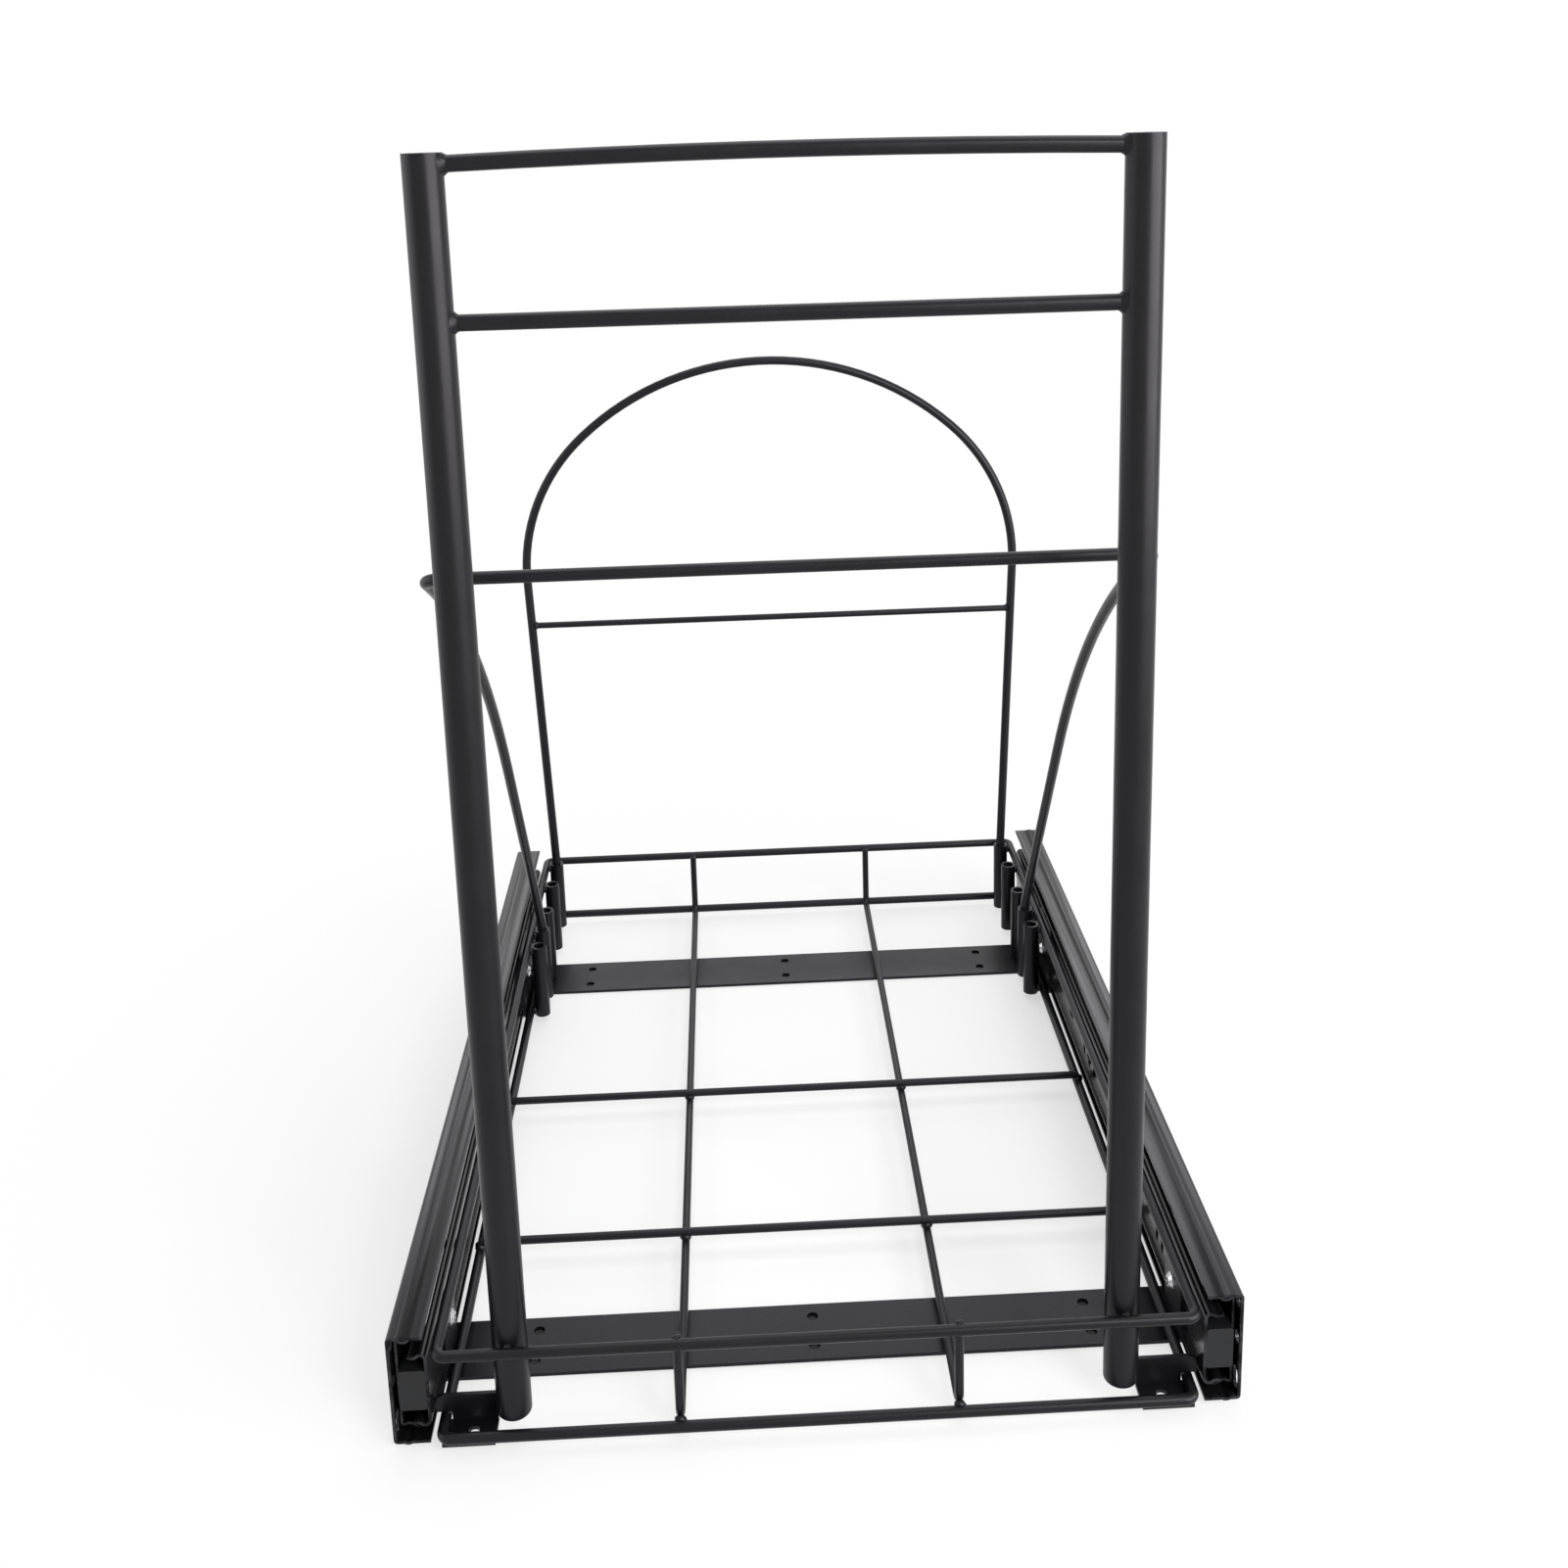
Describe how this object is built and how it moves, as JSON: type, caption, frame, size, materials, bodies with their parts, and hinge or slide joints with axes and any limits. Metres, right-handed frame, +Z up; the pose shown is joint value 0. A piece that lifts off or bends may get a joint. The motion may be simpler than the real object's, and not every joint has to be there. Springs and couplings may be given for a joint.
{
  "type": "pull-out trash can frame",
  "caption": "Pull-out floor frame for a waste bin in a kitchen cabinet: wire basket on ball-bearing slides, with tubes for the cabinet door and lift-out hoops round the bin.",
  "frame": {"origin": "bottom centre of the whole frame, on the cabinet floor under the base plates", "axes": "+X to the right seen from the front, +Y towards the back of the cabinet, +Z up; the basket pulls out towards -Y"},
  "size_m": [0.32, 0.4054, 0.4683],
  "materials": {
    "black_coat": "satin black powder coat",
    "black_rail": "glossy black coat on rolled sheet",
    "cage_steel": "thin bright sheet",
    "ball_steel": "polished",
    "zinc": "bright zinc",
    "grey_plastic": "dark grey, matte",
    "black_plastic": "black, matte",
    "black_rubber": "black, matte"
  },
  "bodies": {
    "base": {"front_base_plate": "black_coat", "rear_base_plate": "black_coat", "base_rivets": "zinc", "outer_rail_left": "black_rail", "outer_rail_right": "black_rail", "rear_buffer_left": "black_rubber", "rear_buffer_right": "black_rubber"},
    "outer_cage_left": {"outer_ball_cage_left": "cage_steel", "outer_balls_left": "ball_steel"},
    "outer_cage_right": {"outer_ball_cage_right": "cage_steel", "outer_balls_right": "ball_steel"},
    "middle_left": {"middle_rail_left": "black_rail"},
    "middle_right": {"middle_rail_right": "black_rail"},
    "inner_cage_left": {"inner_ball_cage_left": "cage_steel", "inner_balls_left": "ball_steel"},
    "inner_cage_right": {"inner_ball_cage_right": "cage_steel", "inner_balls_right": "ball_steel"},
    "basket": {"inner_rail_left": "black_rail", "inner_rail_right": "black_rail", "rail_bumper_left": "grey_plastic", "rail_bumper_right": "grey_plastic", "basket_top_wire": "black_coat", "basket_bottom_wire": "black_coat", "floor_wire_left": "black_coat", "floor_wire_right": "black_coat", "cross_wire_front": "black_coat", "cross_wire_rear": "black_coat", "corner_bracket_left": "black_coat", "corner_bracket_right": "black_coat", "rear_bracket_left": "black_coat", "rear_bracket_right": "black_coat", "rail_screws": "zinc", "door_tube_left": "black_coat", "door_tube_right": "black_coat", "tube_plugs": "black_plastic", "top_door_bar": "black_coat", "lower_door_bar": "black_coat", "sleeves_left": "black_coat", "sleeves_right": "black_coat"},
    "rear_hoop": {"rear_hoop": "black_coat", "rear_hoop_bar": "black_coat"},
    "front_hoop": {"front_hoop": "black_coat"}
  },
  "joints": [
    {"name": "basket_slide", "type": "slide", "parent": "base", "child": "basket", "axis": [0, -1, 0], "range_m": [0, 0.4]},
    {"name": "outer_cage_left_slide", "type": "slide", "parent": "base", "child": "outer_cage_left", "axis": [0, -1, 0], "range_m": [0, 0.1]},
    {"name": "middle_left_slide", "type": "slide", "parent": "base", "child": "middle_left", "axis": [0, -1, 0], "range_m": [0, 0.2]},
    {"name": "inner_cage_left_slide", "type": "slide", "parent": "base", "child": "inner_cage_left", "axis": [0, -1, 0], "range_m": [0, 0.3]},
    {"name": "outer_cage_right_slide", "type": "slide", "parent": "base", "child": "outer_cage_right", "axis": [0, -1, 0], "range_m": [0, 0.1]},
    {"name": "middle_right_slide", "type": "slide", "parent": "base", "child": "middle_right", "axis": [0, -1, 0], "range_m": [0, 0.2]},
    {"name": "inner_cage_right_slide", "type": "slide", "parent": "base", "child": "inner_cage_right", "axis": [0, -1, 0], "range_m": [0, 0.3]},
    {"name": "rear_hoop_lift", "type": "slide", "parent": "basket", "child": "rear_hoop", "axis": [0, 0, 1], "range_m": [0, 0.045]},
    {"name": "front_hoop_lift", "type": "slide", "parent": "basket", "child": "front_hoop", "axis": [0, 0, 1], "range_m": [0, 0.045]}
  ],
  "couplings": [
    {"joint": "outer_cage_left_slide", "follows": "basket_slide", "ratio": 0.25},
    {"joint": "middle_left_slide", "follows": "basket_slide", "ratio": 0.5},
    {"joint": "inner_cage_left_slide", "follows": "basket_slide", "ratio": 0.75},
    {"joint": "outer_cage_right_slide", "follows": "basket_slide", "ratio": 0.25},
    {"joint": "middle_right_slide", "follows": "basket_slide", "ratio": 0.5},
    {"joint": "inner_cage_right_slide", "follows": "basket_slide", "ratio": 0.75}
  ]
}
